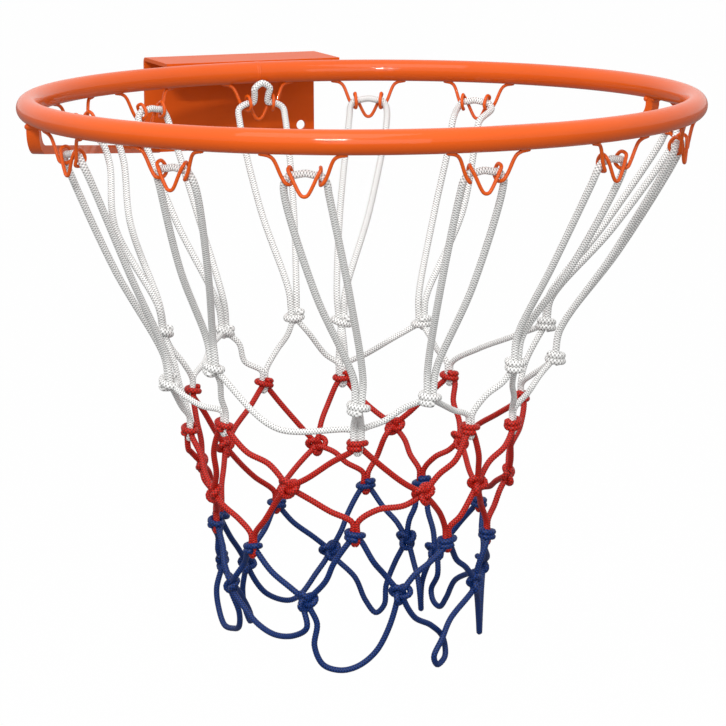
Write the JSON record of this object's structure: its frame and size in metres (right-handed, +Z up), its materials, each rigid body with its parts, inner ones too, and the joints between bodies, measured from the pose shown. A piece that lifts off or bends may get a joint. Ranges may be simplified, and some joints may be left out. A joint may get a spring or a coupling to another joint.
{
  "type": "wall-mounted basketball rim with net",
  "caption": "Wall-mounted steel basketball rim on a folded bracket with flat braces, wire net hooks and a hanging knotted net in white, red and blue cord.",
  "frame": {"origin": "centre of the four-bolt pattern on the rear face of the bracket", "axes": "+Y into the wall that the bracket bolts to, +Z up, the ring lies level on the -Y side"},
  "size_m": [0.4829, 0.5445, 0.4037],
  "materials": {
    "orange_powder_coat": "gloss",
    "white_cord": "matte",
    "red_cord": "matte",
    "blue_cord": "matte"
  },
  "bodies": {
    "rim": {"ring": "orange_powder_coat", "ring_seam": "orange_powder_coat", "bracket": "orange_powder_coat", "bracket_weld": "orange_powder_coat", "brace_left": "orange_powder_coat", "brace_right": "orange_powder_coat", "brace_welds": "orange_powder_coat", "hook_01": "orange_powder_coat", "hook_02": "orange_powder_coat", "hook_03": "orange_powder_coat", "hook_04": "orange_powder_coat", "hook_05": "orange_powder_coat", "hook_06": "orange_powder_coat", "hook_07": "orange_powder_coat", "hook_08": "orange_powder_coat", "hook_09": "orange_powder_coat", "hook_10": "orange_powder_coat", "hook_11": "orange_powder_coat", "hook_12": "orange_powder_coat", "hook_welds": "orange_powder_coat", "top_loop_01": "white_cord", "top_loop_02": "white_cord", "top_loop_03": "white_cord", "top_loop_04": "white_cord", "top_loop_05": "white_cord", "top_loop_06": "white_cord", "top_loop_07": "white_cord", "top_loop_08": "white_cord", "top_loop_09": "white_cord", "top_loop_10": "white_cord", "top_loop_11": "white_cord", "top_loop_12": "white_cord"},
    "net_collar": {"white_knots": "white_cord", "white_ties": "white_cord"},
    "net_skirt": {"red_knots": "red_cord", "red_legs": "red_cord", "red_low_knots": "red_cord", "red_ties": "red_cord"},
    "net_tail": {"blue_knots": "blue_cord", "blue_legs": "blue_cord", "blue_low_knots": "blue_cord", "tail_loop_01": "blue_cord", "tail_loop_02": "blue_cord", "tail_loop_03": "blue_cord", "tail_loop_04": "blue_cord", "tail_loop_05": "blue_cord", "tail_loop_06": "blue_cord", "tail_loop_07": "blue_cord", "tail_loop_08": "blue_cord", "tail_loop_09": "blue_cord", "tail_loop_10": "blue_cord"}
  },
  "joints": [
    {"name": "net_swing_fore", "type": "hinge", "parent": "rim", "child": "net_collar", "pos_m": [0, -0.303, 0.006], "axis": [1, 0, 0], "range_deg": [-8, 8], "deforming": ["top_loop_01", "top_loop_02", "top_loop_03", "top_loop_04", "top_loop_05", "top_loop_06", "top_loop_07", "top_loop_08", "top_loop_09", "top_loop_10", "top_loop_11", "top_loop_12"]},
    {"name": "net_swing_side", "type": "hinge", "parent": "net_collar", "child": "net_skirt", "pos_m": [0, -0.303, 0.006], "axis": [0, 1, 0], "range_deg": [-8, 8], "deforming": ["white_ties"]},
    {"name": "net_tail_lift", "type": "slide", "parent": "net_skirt", "child": "net_tail", "axis": [0, 0, 1], "range_m": [0, 0.02], "deforming": ["red_ties"]}
  ]
}
